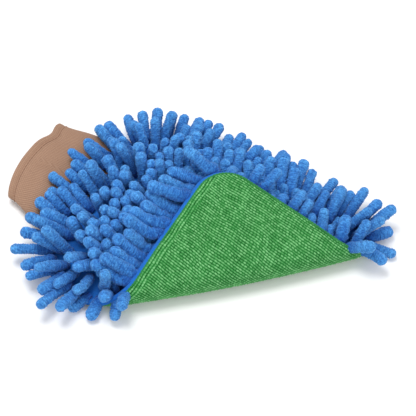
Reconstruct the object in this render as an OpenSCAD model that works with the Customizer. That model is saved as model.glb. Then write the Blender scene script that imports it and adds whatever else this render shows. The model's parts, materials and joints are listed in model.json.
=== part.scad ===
// Chenille wash mitt lying on its back, one fingertip corner folded over the pile.
// X runs from the cuff to the fingertips, Y across the mitt, Z up from the terry back.
// The origin is the middle of the body's underside. Sizes in millimetres.

/* [Body] */
// Length of the padded body, without the cuff
body_len = 223; // [218:1:228]
// Width of the body
body_w = 170; // [168:1:174]
// Corner radius at the fingertips
tip_r = 26; // [24:1:28]
// Corner radius at the shoulders, beside the cuff
shoulder_r = 50; // [46:1:52]

/* [Cloth layers] */
// Thickness of the ribbed terry back
back_t = 3; // [2.5:0.1:3.5]
// Thickness of each lining
lining_t = 0.8; // [0.6:0.1:1]
// Thickness of the base cloth that carries the chenille
base_t = 1.2; // [1:0.1:1.4]
// Height of the hand pocket where the mitt lies open
pocket_h = 7; // [6.5:0.5:7.5]
// Height of the pocket where the fold presses it shut
pressed_h = 1.5; // [1:0.1:2]

/* [Cuff] */
// Length of the knitted cuff
cuff_len = 56; // [50:1:62]
// Width of the cuff, laid flat
cuff_w = 83; // [78:1:86]
// Height of the cuff
cuff_h = 14; // [13.5:0.5:15]
// Thickness of the doubled rib knit
knit_t = 3; // [2.5:0.1:3.2]

/* [Chenille] */
// Diameter of one chenille noodle
noodle_d = 8.4; // [7.5:0.1:8.6]
// Length of one noodle
noodle_len = 31; // [26:1:32]
// Distance from one row or column to the next
noodle_pitch = 10.8; // [10.6:0.1:11.2]

/* [Fold] */
// Where the lower crease leaves the side edge, along X
crease_side_x = -43; // [-46:1:-40]
// Where the lower crease leaves the fingertip edge, along Y
crease_tip_y = 66; // [63:1:67]
// Width of the standing wall between the two creases
wall_w = 19; // [18.5:0.5:21]
// Angle of each crease
crease_angle = 80; // [79:1:81]

/* [Hidden] */
$fn = 48;
eps = 0.01;
half_len = body_len / 2;
half_w = body_w / 2;
noodle_r = noodle_d / 2;
far = 400;

// Heights of the layers, from the outside of the terry back
lining_z = back_t;
pocket_z = back_t + lining_t;
function palm_top(gap) = back_t + 2 * lining_t + gap + base_t;
palm_z = palm_top(pocket_h);
pressed_z = palm_top(pressed_h);

// The creases run along this direction; s is the distance past the lower crease
crease_dir = atan2(crease_tip_y + half_w, half_len - crease_side_x);
crease_point = [crease_side_x, -half_w];
crease_n = [sin(crease_dir), -cos(crease_dir)];
function past_crease(p) = (p - crease_point) * crease_n;
hinge_z = back_t / 2;
joint_gap = 0.4;
function set_back(top) = (top - hinge_z) * tan(crease_angle / 2) + joint_gap;

// Edge build-up
wall_in = 1.2;
seam_out = 0.9;
seam_low = 2.2;
seam_high = 4.4;
pile_inset = 6;

// Spread of the pile at the edges
edge_tilt = 60;
flap_tilt = 87;
spread_w = 36;
flap_edge_w = 14;
pile_gap = 0.9;
shortest_noodle = 5.5;
stub_len = 5.2;

// Cuff details
hem_offset = 6;
stitch_t = 0.5;
stitch_w = 1;
collar_len = 3;
cuff_z = cuff_h / 2 + stitch_t;

row_count = floor((body_len - 2 * pile_inset) / noodle_pitch) + 1;
column_count = floor((body_w - 2 * pile_inset) / noodle_pitch) + 1;
last_palm_row = row_count - 2;
function row_x(i) = (i - (row_count - 1) / 2) * noodle_pitch;
function column_y(j) = (j - (column_count - 1) / 2) * noodle_pitch;
function two_digits(i) = str(i < 10 ? "0" : "", i);

// ---- Room between the palm and the folded corner ----

total_fold = 2 * crease_angle;
crest_s = wall_w * cos(crease_angle);
crest_z = hinge_z + wall_w * sin(crease_angle);
lowest_room = crest_z - (pressed_z - hinge_z) / -cos(total_fold) - palm_z;
function room(reach) = lowest_room + reach * sin(total_fold);
function along_flap(s) = (crest_s - s) / -cos(total_fold);
function unfolded(p) = p + (wall_w + along_flap(past_crease(p)) - past_crease(p)) * crease_n;

// First row of the corner whose noodles have room to lie on the palm, at the side edge
edge_noodle_room = noodle_d + stitch_t + 3 * pile_gap;
first_reach = (edge_noodle_room - lowest_room) / sin(total_fold);
first_corner_x = crease_side_x
    + (wall_w + first_reach + (half_w + column_y(0)) * cos(crease_dir)) / sin(crease_dir);
first_corner_row = ceil(first_corner_x / noodle_pitch + (row_count - 1) / 2) + 1;

// ---- Outline of the body ----

function corner_r(p) = p.x < 0 ? shoulder_r : tip_r;
function corner_offset(p) = [abs(p.x) - half_len + corner_r(p), abs(p.y) - half_w + corner_r(p)];
function past_edge(p) = let (q = corner_offset(p))
    norm([max(q.x, 0), max(q.y, 0)]) + min(max(q.x, q.y), 0) - corner_r(p);
function edge_direction(p) = let (q = corner_offset(p))
    q.x > 0 && q.y > 0 ? atan2(sign(p.y) * q.y, sign(p.x) * q.x)
    : q.x > q.y ? (p.x < 0 ? 180 : 0)
    : (p.y < 0 ? -90 : 90);

// Half of the body, from the middle to one end, with two round corners
module half_outline(r, inset) {
    w = body_w - 2 * inset;
    len = half_len - inset;
    translate([-eps, -w / 2])
        square([len - r + inset + eps, w]);
    translate([0, -w / 2 + r - inset])
        square([len, w - 2 * (r - inset)]);
    for (side = [-1, 1])
        translate([len - r + inset, side * (w / 2 - r + inset)])
            circle(r = r - inset);
}

module outline(inset = 0) {
    half_outline(tip_r, inset);
    mirror([1, 0])
        half_outline(shoulder_r, inset);
}

// Strip of the plane between two distances past the lower crease
module strip(from, to) {
    translate(crease_point)
        rotate(crease_dir - 90)
            translate([from, -far])
                square([to - from, 2 * far]);
}

module layer(z, t, from, to, inset = 0) {
    translate([0, 0, z])
        linear_extrude(t)
            intersection() {
                outline(inset);
                strip(from, to);
            }
}

// Upturned tray: a flat cloth with its edge turned down to the back
module tray(low, top, t, from, to, inset) {
    difference() {
        layer(low, top - low, from, to, inset);
        layer(low - 1, top - low - t + 1, from - 1, to + 1, inset + t);
    }
}

module seam(from, to) {
    translate([0, 0, seam_low])
        linear_extrude(seam_high - seam_low)
            intersection() {
                difference() {
                    outline(-seam_out);
                    outline(0);
                }
                strip(from, to);
            }
}

// ---- Folding: flat layout to folded place ----

module fold_about(s, z) {
    hinge = [crease_point.x + s * crease_n.x, crease_point.y + s * crease_n.y, z];
    translate(hinge)
        rotate(a = crease_angle, v = [-cos(crease_dir), -sin(crease_dir), 0])
            translate(-hinge)
                children();
}

module fold_lower() {
    fold_about(0, hinge_z)
        children();
}

module fold_upper() {
    fold_lower()
        fold_about(wall_w, hinge_z)
            children();
}

// ---- Chenille ----

// Noodles of the corner's side edge lie out over the palm, so only there is room kept for them
function beside_side_edge(q) = -q.y - half_w > q.x - half_len;

// Length a palm noodle may have at p
flap_reach = noodle_len + noodle_d;
function palm_noodle_len(p) = let (
        opened = unfolded(p),
        beyond = past_edge(opened),
        at_side = beside_side_edge(opened) && beyond > -flap_edge_w - noodle_d,
        gap = room(along_flap(past_crease(p))),
        halved = gap / 2 - pile_gap,
        cleared = gap - edge_noodle_room
    )
    beyond < noodle_r + pile_gap ? (at_side ? min(halved, cleared) : halved)
    : at_side && beyond < flap_reach ? min(noodle_len, cleared)
    : noodle_len;

module noodle(len) {
    r = min(noodle_r, len / 2);
    cylinder(r = r, h = len - r);
    translate([0, 0, len - r])
        sphere(r = r);
}

// A noodle sewn at p on a cloth at height z, leaning out towards the nearest edge
module sewn_noodle(p, z, len, tilt) {
    translate([p.x, p.y, z + noodle_r * sin(tilt)])
        rotate([0, tilt, edge_direction(p)])
            noodle(len);
}

function spread(p) = edge_tilt * max(0, 1 - (-past_edge(p) - pile_inset) / spread_w);
function is_short(len) = len < noodle_len;

module palm_row(i) {
    color("royalblue")
        for (j = [0 : column_count - 1]) {
            p = [row_x(i), column_y(j)];
            len = palm_noodle_len(p);
            fits = past_edge(p) < -pile_inset + eps
                && past_crease(p) < -set_back(palm_z) - noodle_r;
            if (fits && len > shortest_noodle)
                sewn_noodle(p, palm_z, len, is_short(len) ? 0 : spread(p));
        }
}

module corner_row(i) {
    color("royalblue")
        fold_upper()
            for (j = [0 : column_count - 1]) {
                p = [row_x(i), column_y(j)];
                reach = past_crease(p) - wall_w;
                at_edge = -past_edge(p) < flap_edge_w && p.x < half_len - flap_edge_w;
                edge_len = room(reach) > edge_noodle_room ? noodle_len : 0;
                len = at_edge ? edge_len : room(reach) / 2 - pile_gap;
                z = at_edge ? pressed_z + stitch_t : pressed_z;
                fits = past_edge(p) < -pile_inset + eps
                    && reach > set_back(pressed_z) + noodle_r;
                if (fits && len > shortest_noodle)
                    sewn_noodle(p, z, len, at_edge ? flap_tilt : 0);
            }
}

module fold_chenille_row() {
    crease_len = (half_len - crease_side_x) / cos(crease_dir);
    count = floor((crease_len - 3 * noodle_pitch) / noodle_pitch);
    color("royalblue")
        fold_lower()
            for (k = [0 : count]) {
                t = (k + 1.5) * noodle_pitch;
                s = wall_w / 2;
                translate([crease_point.x + t * cos(crease_dir) + s * crease_n.x,
                           crease_point.y + t * sin(crease_dir) + s * crease_n.y, pressed_z])
                    noodle(stub_len);
            }
}

// Lines of thread between the rows of noodles
module stitches(z, from, to) {
    translate([0, 0, z])
        linear_extrude(stitch_t)
            intersection() {
                outline(pile_inset);
                strip(from, to);
                for (i = [0 : row_count - 2])
                    translate([row_x(i) + noodle_pitch / 2 - stitch_w / 2, -half_w])
                        square([stitch_w, body_w]);
            }
}

// ---- Cuff ----

module stadium(w, h) {
    square([w - h, h], center = true);
    for (side = [-1, 1])
        translate([side * (w - h) / 2, 0])
            circle(d = h);
}

// Oval ring around X, from x to x + len
module cuff_ring(x, len, out, in) {
    translate([x, 0, cuff_z])
        rotate([90, 0, 90])
            linear_extrude(len)
                difference() {
                    stadium(cuff_w + 2 * out, cuff_h + 2 * out);
                    stadium(cuff_w - 2 * in, cuff_h - 2 * in);
                }
}

// ---- Pieces of the mitt ----

module back_cloth() {
    color("seagreen")
        layer(0, back_t, -far, -set_back(back_t));
}

module back_lining() {
    color("lightsteelblue")
        layer(lining_z, lining_t, -far, -set_back(pocket_z), wall_in + lining_t);
}

module palm_lining() {
    color("lightsteelblue")
        difference() {
            tray(pocket_z, palm_z - base_t, lining_t, -far, -set_back(palm_z), wall_in);
            cuff_passage();
        }
}

module palm_base_cloth() {
    color("dodgerblue")
        difference() {
            tray(back_t, palm_z, base_t, -far, -set_back(palm_z), 0);
            cuff_passage();
        }
}

// Way in from the cuff to the pocket
module cuff_passage() {
    translate([-half_len - 1, -(cuff_w - cuff_h) / 2, back_t - 1])
        cube([shoulder_r / 2, cuff_w - cuff_h, pocket_h + lining_t + 1]);
}

module edge_seam() {
    color("darkgreen")
        difference() {
            seam(-far, -set_back(seam_high));
            translate([-half_len - 2, -cuff_w / 2, 0])
                cube([4, cuff_w, cuff_h]);
        }
}

module row_stitching() {
    color("midnightblue")
        stitches(palm_z, -far, -set_back(palm_z));
}

module cuff() {
    color("tan")
        cuff_ring(-half_len - cuff_len, cuff_len - eps, 0, knit_t);
}

module cuff_joint_seam() {
    color("sienna")
        cuff_ring(-half_len - collar_len, collar_len - eps, stitch_t, 0);
}

module cuff_hem_stitching() {
    color("sienna")
        cuff_ring(-half_len - cuff_len + hem_offset, stitch_w, stitch_t, 0);
}

// Thread line that closes the knit tube along its side
module cuff_side_seam() {
    seam_len = cuff_len - collar_len - hem_offset - 3 * stitch_w;
    color("sienna")
        translate([-half_len - cuff_len + hem_offset + 2 * stitch_w, cuff_w / 2 + eps, cuff_z - stitch_w / 2])
            cube([seam_len, stitch_t, stitch_w]);
}

// ---- Pieces of the standing wall of the fold ----

module fold_back_cloth() {
    color("seagreen")
        fold_lower()
            layer(0, back_t, set_back(back_t), wall_w - set_back(back_t));
}

module fold_back_lining() {
    inner = set_back(pocket_z);
    color("lightsteelblue")
        fold_lower()
            layer(lining_z, lining_t, inner, wall_w - inner, wall_in + lining_t);
}

module fold_palm_lining() {
    inner = set_back(pressed_z);
    color("lightsteelblue")
        fold_lower()
            tray(pocket_z, pressed_z - base_t, lining_t, inner, wall_w - inner, wall_in);
}

module fold_base_cloth() {
    inner = set_back(pressed_z);
    color("dodgerblue")
        fold_lower()
            tray(back_t, pressed_z, base_t, inner, wall_w - inner, 0);
}

module fold_edge_seam() {
    inner = set_back(seam_high);
    color("darkgreen")
        fold_lower()
            seam(inner, wall_w - inner);
}

// ---- Pieces of the folded corner ----

module corner_back_cloth() {
    color("seagreen")
        fold_upper()
            layer(0, back_t, wall_w + set_back(back_t), far);
}

module corner_back_lining() {
    color("lightsteelblue")
        fold_upper()
            layer(lining_z, lining_t, wall_w + set_back(pocket_z), far, wall_in + lining_t);
}

module corner_palm_lining() {
    color("lightsteelblue")
        fold_upper()
            tray(pocket_z, pressed_z - base_t, lining_t, wall_w + set_back(pressed_z), far, wall_in);
}

module corner_base_cloth() {
    color("dodgerblue")
        fold_upper()
            tray(back_t, pressed_z, base_t, wall_w + set_back(pressed_z), far, 0);
}

module corner_edge_seam() {
    color("darkgreen")
        fold_upper()
            seam(wall_w + set_back(seam_high), far);
}

module corner_row_stitching() {
    color("midnightblue")
        fold_upper()
            stitches(pressed_z, wall_w + set_back(pressed_z), far);
}

back_cloth();
back_lining();
palm_lining();
palm_base_cloth();
edge_seam();
row_stitching();
cuff();
cuff_joint_seam();
cuff_hem_stitching();
cuff_side_seam();
for (i = [1 : last_palm_row])
    palm_row(i - 1);
fold_back_cloth();
fold_back_lining();
fold_palm_lining();
fold_base_cloth();
fold_edge_seam();
fold_chenille_row();
corner_back_cloth();
corner_back_lining();
corner_palm_lining();
corner_base_cloth();
corner_edge_seam();
corner_row_stitching();
for (i = [first_corner_row : row_count])
    corner_row(i - 1);
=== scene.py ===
"""Chenille wash mitt lying on its back, with one fingertip corner folded over the pile."""
import json
import math
from itertools import product

import bmesh
import bpy
import numpy as np
from mathutils import Matrix, Vector


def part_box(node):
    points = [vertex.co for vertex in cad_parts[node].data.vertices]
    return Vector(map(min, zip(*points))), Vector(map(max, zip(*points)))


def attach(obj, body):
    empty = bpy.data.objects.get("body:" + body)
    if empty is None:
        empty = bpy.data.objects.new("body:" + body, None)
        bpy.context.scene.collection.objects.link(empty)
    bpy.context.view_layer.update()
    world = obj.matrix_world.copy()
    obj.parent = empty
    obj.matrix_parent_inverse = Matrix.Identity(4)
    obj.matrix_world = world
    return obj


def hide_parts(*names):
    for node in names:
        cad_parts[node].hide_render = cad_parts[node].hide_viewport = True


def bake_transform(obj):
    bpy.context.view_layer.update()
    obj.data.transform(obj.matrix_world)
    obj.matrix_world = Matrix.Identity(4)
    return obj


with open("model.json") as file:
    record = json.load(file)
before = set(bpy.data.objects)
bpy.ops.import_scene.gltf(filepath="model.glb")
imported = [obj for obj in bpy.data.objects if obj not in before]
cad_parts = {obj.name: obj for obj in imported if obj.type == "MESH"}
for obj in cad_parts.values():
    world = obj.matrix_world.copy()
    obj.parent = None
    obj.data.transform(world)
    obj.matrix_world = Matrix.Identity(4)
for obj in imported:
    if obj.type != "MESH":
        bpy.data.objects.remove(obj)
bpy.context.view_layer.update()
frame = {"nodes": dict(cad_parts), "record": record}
rng = np.random.default_rng(11)
MM = 0.001

# ---- Sizes, in millimetres, from the frame ----
#
# In the flat layout x runs along the mitt and y across it, and h is the height over the terry's outer
# face. s is the distance past the lower crease, and t the distance along it.

record = frame["record"]
joints = {joint["name"]: joint for joint in record["behaviour"]["joints"]}
lower_hinge = np.array(joints["fold_lower"]["pos_m"]) / MM
upper_hinge = np.array(joints["fold_upper"]["pos_m"]) / MM
CREASE = lower_hinge[:2]
HINGE_Z = lower_hinge[2]
ALONG = np.array(joints["fold_lower"]["axis"][:2])
ACROSS = np.array([ALONG[1], -ALONG[0]])
FOLD = math.radians(joints["fold_lower"]["range_deg"][1])
WALL = float(np.linalg.norm(upper_hinge - lower_hinge))


def box_mm(node):
    low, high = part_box(node)
    return np.array(low) / MM, np.array(high) / MM


body_low, body_high = box_mm("back_cloth")
HALF_LEN = -body_low[0]
HALF_W = body_high[1]
cuff_low, cuff_high = box_mm("cuff")
CUFF_HALF_W = cuff_high[1]
CUFF_TOP = cuff_high[2]
CUFF_END = cuff_low[0]
PALM_Z = box_mm("palm_base_cloth")[1][2]

# Outline: corner radii at the fingertips and at the cuff
TIP_R = 26.0
SHOULDER_R = 50.0

# Fold: round bends on both creases, and how far the fold bows outward in its middle
PRESSED_Z = 7.3
BEND_R = 12.0
BEND_LEN = (BEND_R - HINGE_Z) * math.tan(FOLD / 2)
CREASE_LEN = (HALF_LEN - CREASE[0]) / ALONG[0]
FOLD_BOW = 4.0
BOW_REACH = 34.0

# The edge roll, where the base cloth turns round to the seam
RIM_Z = 6.2
RIM_MID_Z = 3.8
RIM_OUT = 3.4
RIM_OUT_TIP = 1.6
SEAM_Z = 1.6

# The hand pocket holds the palm up: it starts this far from the crease, and rises over these distances
POCKET_FROM = 14.0
POCKET_RISE = 34.0
EDGE_RISE = 26.0

# Chenille: a grid of noodles on the palm, and one even line of them round the edge
ROW_PITCH = 10.8
NOODLE_PITCH = 9.6
NOODLE_R = 4.3
NOODLE_LEN = 32.0
ROWS = 20
COLUMNS = 17
EDGE_NOODLES = 78
EDGE_ROW = 5.0
FLAP_EDGE_ROW = 1.0
GRID_CLEAR = 5.5
GRID_SCATTER = 1.0
EDGE_SCATTER = 0.3
EDGE_BAND = 8.0


def smooth(value):
    """0 to 1 with level ends."""
    value = np.clip(value, 0, 1)
    return value * value * (3 - 2 * value)


# ---- Lines of points ----

def arc_length(points):
    """Distance along a line of points, from 0 at its first."""
    return np.concatenate([[0], np.cumsum(np.linalg.norm(np.diff(points, axis=0), axis=1))])


def on_line(points, arc, at):
    """Points of a line at the given distances along it."""
    return np.column_stack([np.interp(at, arc, column) for column in points.T])


# ---- Flat outline of the body ----

def corner_radius(x):
    return np.where(x < 0, SHOULDER_R, TIP_R)


def from_corner(x, y):
    """Distances out from the centre of the nearest corner's arc, and the arc's radius."""
    r = corner_radius(x)
    return np.abs(x) - HALF_LEN + r, np.abs(y) - HALF_W + r, r


def past_edge(x, y):
    """Distance outside the outline, negative inside it."""
    qx, qy, r = from_corner(x, y)
    outside = np.hypot(np.maximum(qx, 0), np.maximum(qy, 0))
    return outside + np.minimum(np.maximum(qx, qy), 0) - r


def edge_normal(x, y):
    """Unit direction to the nearest edge, in the flat layout."""
    qx, qy, _ = from_corner(x, y)
    in_corner = (qx > 0) & (qy > 0)
    nx = np.where(in_corner, qx, np.where(qx > qy, 1.0, 0.0))
    ny = np.where(in_corner, qy, np.where(qx > qy, 0.0, 1.0))
    size = np.maximum(np.hypot(nx, ny), 1e-6)
    return nx * np.sign(x) / size, ny * np.sign(y) / size


def outline_points(count):
    """Points and outward normals at even steps round the outline."""
    path = []
    for end, side, r in ((1, -1, TIP_R), (1, 1, TIP_R), (-1, 1, SHOULDER_R), (-1, -1, SHOULDER_R)):
        angle = np.radians(np.linspace(0, 90, 60) + 90 * len(path) - 90)
        path.append(np.column_stack([end * (HALF_LEN - r) + r * np.cos(angle),
                                     side * (HALF_W - r) + r * np.sin(angle)]))
    path = np.vstack(path + [path[0][:1]])
    arc = arc_length(path)
    points = on_line(path, arc, np.linspace(0, arc[-1], count, endpoint=False))
    ahead = np.roll(points, -1, axis=0) - np.roll(points, 1, axis=0)
    ahead /= np.linalg.norm(ahead, axis=1)[:, None]
    return points, np.column_stack([ahead[:, 1], -ahead[:, 0]])


# ---- Folding the flat layout (x, y, height above the terry face) ----

def past_crease(x, y):
    """Distance past the lower crease, towards the folded fingertip."""
    return (x - CREASE[0]) * ACROSS[0] + (y - CREASE[1]) * ACROSS[1]


def bend(s, h, crease, half):
    """Profile of one crease: flat, round over half either side, then turned by FOLD about the hinge."""
    angle = np.clip(FOLD * (s - crease + BEND_LEN) / (2 * BEND_LEN), 0, FOLD)
    r = BEND_R - h
    turned_s = crease + (s - crease) * math.cos(FOLD) - (h - HINGE_Z) * math.sin(FOLD)
    turned_z = HINGE_Z + (s - crease) * math.sin(FOLD) + (h - HINGE_Z) * math.cos(FOLD)
    round_s = crease - BEND_LEN + r * np.sin(angle)
    round_z = BEND_R - r * np.cos(angle)
    before, after = s < crease - half, s > crease + half
    return (np.where(before, s, np.where(after, turned_s, round_s)),
            np.where(before, h, np.where(after, turned_z, round_z)))


def fold_profile(s, h, half=BEND_LEN):
    s1, z1 = bend(s, h, 0.0, half)
    s2, z2 = bend(s, h, WALL, half)
    up_s = s2 * math.cos(FOLD) - (z2 - HINGE_Z) * math.sin(FOLD)
    up_z = HINGE_Z + s2 * math.sin(FOLD) + (z2 - HINGE_Z) * math.cos(FOLD)
    low = s < WALL / 2
    return np.where(low, s1, up_s), np.where(low, z1, up_z)


def fold(flat, half=BEND_LEN):
    """Flat points to folded places; the fold bows outward in the middle."""
    flat = np.atleast_2d(flat).astype(float)
    x, y, h = flat.T
    s = past_crease(x, y)
    t = (x - CREASE[0]) * ALONG[0] + (y - CREASE[1]) * ALONG[1]
    ps, pz = fold_profile(s, h, half)
    middle = np.sin(math.pi * np.clip(t / CREASE_LEN, 0, 1))
    near = smooth((s + BOW_REACH) / BOW_REACH) * smooth((WALL + BOW_REACH - s) / BOW_REACH)
    ps = ps + FOLD_BOW * middle * near
    return np.column_stack([CREASE[0] + t * ALONG[0] + ps * ACROSS[0],
                            CREASE[1] + t * ALONG[1] + ps * ACROSS[1], pz])


def rim_out(x, y):
    """How far the rolled edge stands out beyond the terry: less along the fingertips."""
    tip_share = np.clip(edge_normal(x, y)[0], 0, 1)
    return RIM_OUT + (RIM_OUT_TIP - RIM_OUT) * tip_share


def base_height(x, y):
    """Height of the base cloth's pile side over the terry face, in the flat layout."""
    inside = -past_edge(x, y)
    s = past_crease(x, y)
    open_part = smooth((-s - POCKET_FROM) / POCKET_RISE)
    full = PRESSED_Z + (PALM_Z - PRESSED_Z) * open_part
    return RIM_Z + (full - RIM_Z) * smooth(inside / EDGE_RISE)


# ---- Mesh helpers ----

def new_object(name, data):
    """Object linked to the scene."""
    thing = bpy.data.objects.new(name, data)
    bpy.context.scene.collection.objects.link(thing)
    return thing


def new_mesh(name, points, faces, body, material, slot):
    """Object from points in millimetres, riding on a body."""
    mesh = bpy.data.meshes.new(name)
    mesh.from_pydata((np.asarray(points) * MM).tolist(), [], faces)
    mesh.validate()
    mesh.polygons.foreach_set("use_smooth", np.ones(len(mesh.polygons), bool))
    mesh.materials.append(material)
    piece = new_object(name, mesh)
    if body:
        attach(piece, body)
    return piece


def grid_faces(rows, columns, closed=False):
    """Quads of a grid with `columns` points a row; closed joins the last column to the first."""
    across = columns if closed else columns - 1
    i, j = np.meshgrid(np.arange(rows - 1), np.arange(across), indexing="ij")
    a = i * columns + j
    b = i * columns + (j + 1) % columns
    return np.stack([a, b, b + columns, a + columns], -1).reshape(-1, 4).tolist()


def closed_shell(rings):
    """Points and faces of a shell through equal rings, with its first and last ring filled."""
    columns = len(rings[0])
    faces = grid_faces(len(rings), columns, closed=True)
    faces.append(list(range(columns))[::-1])
    faces.append([(len(rings) - 1) * columns + k for k in range(columns)])
    return np.vstack(rings), faces


def joined(parts):
    """One mesh from separate (points, faces) parts."""
    points, faces, start = [], [], 0
    for part_points, part_faces in parts:
        points.append(part_points)
        faces += [[k + start for k in face] for face in part_faces]
        start += len(part_points)
    return np.vstack(points), faces


def cut_at_crease(points, faces, s_low, s_high):
    """The part of a flat mesh between two distances past the crease."""
    bm = bmesh.new()
    verts = [bm.verts.new(p) for p in points]
    for face in faces:
        bm.faces.new([verts[k] for k in face])
    for s, sign in ((s_low, 1), (s_high, -1)):
        if s is None:
            continue
        place = CREASE + s * ACROSS
        cut = bmesh.ops.bisect_plane(
            bm, geom=bm.verts[:] + bm.edges[:] + bm.faces[:], dist=1e-4,
            plane_co=(place[0], place[1], 0), plane_no=(sign * ACROSS[0], sign * ACROSS[1], 0),
            clear_inner=True)
        open_edges = [e for e in cut["geom_cut"] if isinstance(e, bmesh.types.BMEdge) and e.is_boundary]
        caps = bmesh.ops.holes_fill(bm, edges=open_edges, sides=0)["faces"]
        bmesh.ops.triangulate(bm, faces=caps)
    bm.verts.index_update()
    points = np.array([v.co for v in bm.verts])
    faces = [[v.index for v in f.verts] for f in bm.faces]
    bm.free()
    return points, faces


def blend_across(piece, joint):
    """Bake a cloth's transform into its mesh. The line that halves the crease's angle is worked out, but
    nothing is blended over the crease."""
    turn = (0.5 if joint == "lower" else 1.5) * FOLD
    axis = np.array([math.cos(turn), math.sin(turn)])

    def place(share):
        xy = CREASE + share * axis[0] * ACROSS
        return (xy[0] * MM, xy[1] * MM, share * axis[1] * MM)

    if joint == "lower":
        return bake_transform(piece)
    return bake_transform(piece)


# ---- Materials ----

def material(name, **sockets):
    """Material and its shader, with the shader's sockets set."""
    mat = bpy.data.materials.new(name)
    mat.use_nodes = True
    shader = mat.node_tree.nodes["Principled BSDF"]
    for socket, value in sockets.items():
        shader.inputs[socket.replace("_", " ")].default_value = value
    return mat, shader


def cloth(name, roughness, sheen, sheen_tint):
    """Dull material with the soft sheen of fibres."""
    return material(name, Roughness=roughness, Specular_IOR_Level=0.2, Sheen_Weight=sheen,
                    Sheen_Roughness=0.45, Sheen_Tint=(*sheen_tint, 1))


def add(mat, kind, **sockets):
    """Shader node with its sockets or settings set."""
    node = mat.node_tree.nodes.new(kind)
    for key, value in sockets.items():
        if key in node.inputs:
            node.inputs[key].default_value = value
        else:
            setattr(node, key, value)
    return node


def link(mat, source, target):
    mat.node_tree.links.new(source, target)


def ramp(mat, factor, stops):
    """Colour from a factor, through (place, colour) stops."""
    node = mat.node_tree.nodes.new("ShaderNodeValToRGB")
    elements = node.color_ramp.elements
    while len(elements) < len(stops):
        elements.new(0.5)
    for element, (place, colour) in zip(elements, stops):
        element.position = place
        element.color = (*colour, 1)
    link(mat, factor, node.inputs["Fac"])
    return node.outputs["Color"]


def object_texture(mat, kind, **sockets):
    """Value of a texture in object space, with its scale in cycles per metre."""
    place = add(mat, "ShaderNodeTexCoord")
    texture = add(mat, kind, **sockets)
    link(mat, place.outputs["Object"], texture.inputs["Vector"])
    return texture.outputs["Fac"]


def object_noise(mat, scale, detail):
    return object_texture(mat, "ShaderNodeTexNoise", Scale=scale, Detail=detail)


def multiply(mat, a, b):
    """Colour a times colour b."""
    node = mat.node_tree.nodes.new("ShaderNodeMix")
    node.data_type = "RGBA"
    node.blend_type = "MULTIPLY"
    factor, colour_a, colour_b = (node.inputs[k] for k in (0, 6, 7))
    factor.default_value = 1.0
    link(mat, a, colour_a)
    link(mat, b, colour_b)
    return node.outputs[2]


def tinted(mat, base, factor, stops):
    """Base colour times the colour that a factor gives."""
    return multiply(mat, base, ramp(mat, factor, stops))


def bump(mat, shader, height, distance, strength):
    node = add(mat, "ShaderNodeBump", Distance=distance, Strength=strength)
    link(mat, height, node.inputs["Height"])
    link(mat, node.outputs["Normal"], shader.inputs["Normal"])


def attribute(mat, name):
    return add(mat, "ShaderNodeAttribute", attribute_name=name).outputs["Fac"]


def chenille_material():
    """Fuzzy blue pile, with painted shade: darker towards each noodle's root, deep in the pile, and in the
    grooves between the tufts.
    """
    mat, shader = cloth("chenille_blue", 0.95, 0.32, (0.42, 0.68, 1.0))
    # Painted shade: each noodle darkens towards its root, deep in the pile, and lightens towards its tip.
    base = ramp(mat, attribute(mat, "rise"), [
        (0.0, (0.01, 0.08, 0.4)), (0.4, (0.042, 0.22, 0.64)), (1.0, (0.088, 0.36, 0.85))])
    base = tinted(mat, base, attribute(mat, "tint"), [(0.0, (0.86, 0.93, 0.98)), (1.0, (1.12, 1.06, 1.0))])
    # Painted shade in the grooves between the tufts, with lighter crests.
    base = tinted(mat, base, attribute(mat, "ring"), [(0.1, (0.42, 0.52, 0.66)), (0.9, (1.2, 1.16, 1.1))])
    fuzz = object_noise(mat, 950.0, 4.0)
    base = tinted(mat, base, fuzz, [(0.38, (0.64, 0.73, 0.82)), (0.62, (1.32, 1.26, 1.16))])
    link(mat, base, shader.inputs["Base Color"])
    bump(mat, shader, fuzz, 0.0016, 1.0)
    return mat


def terry_material():
    """Green loops, with painted shade in the gaps between them and lighter tops."""
    mat, shader = cloth("terry_green", 0.95, 0.12, (0.55, 0.95, 0.5))
    # Painted shade: near-black green in the gaps between loops, lightest on the loops' tops.
    base = ramp(mat, attribute(mat, "loop"), [
        (0.0, (0.003, 0.056, 0.009)), (0.35, (0.026, 0.225, 0.042)), (0.9, (0.225, 0.58, 0.235))])
    worn = object_noise(mat, 45.0, 2.0)
    base = tinted(mat, base, worn, [(0.3, (0.95, 0.97, 0.95)), (0.7, (1.05, 1.03, 1.05))])
    fuzz = object_noise(mat, 1900.0, 3.0)
    base = tinted(mat, base, fuzz, [(0.35, (0.78, 0.84, 0.78)), (0.68, (1.2, 1.14, 1.2))])
    link(mat, base, shader.inputs["Base Color"])
    bump(mat, shader, fuzz, 0.0006, 0.8)
    return mat


def cloth_material(name, colour, thread):
    """Flat brushed knit with a fine even weave."""
    mat, shader = cloth(name, 0.9, 0.08, (0.7, 0.8, 1.0))
    fuzz = object_noise(mat, 1600.0, 3.0)
    dark, light = (tuple(share * c for c in colour) for share in (0.82, 1.15))
    shade = ramp(mat, fuzz, [(0.3, dark), (0.7, light)])
    link(mat, shade, shader.inputs["Base Color"])
    weave = object_texture(mat, "ShaderNodeTexWave", Scale=thread, Distortion=0.6)
    bump(mat, shader, weave, 0.0002, 0.6)
    return mat


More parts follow.
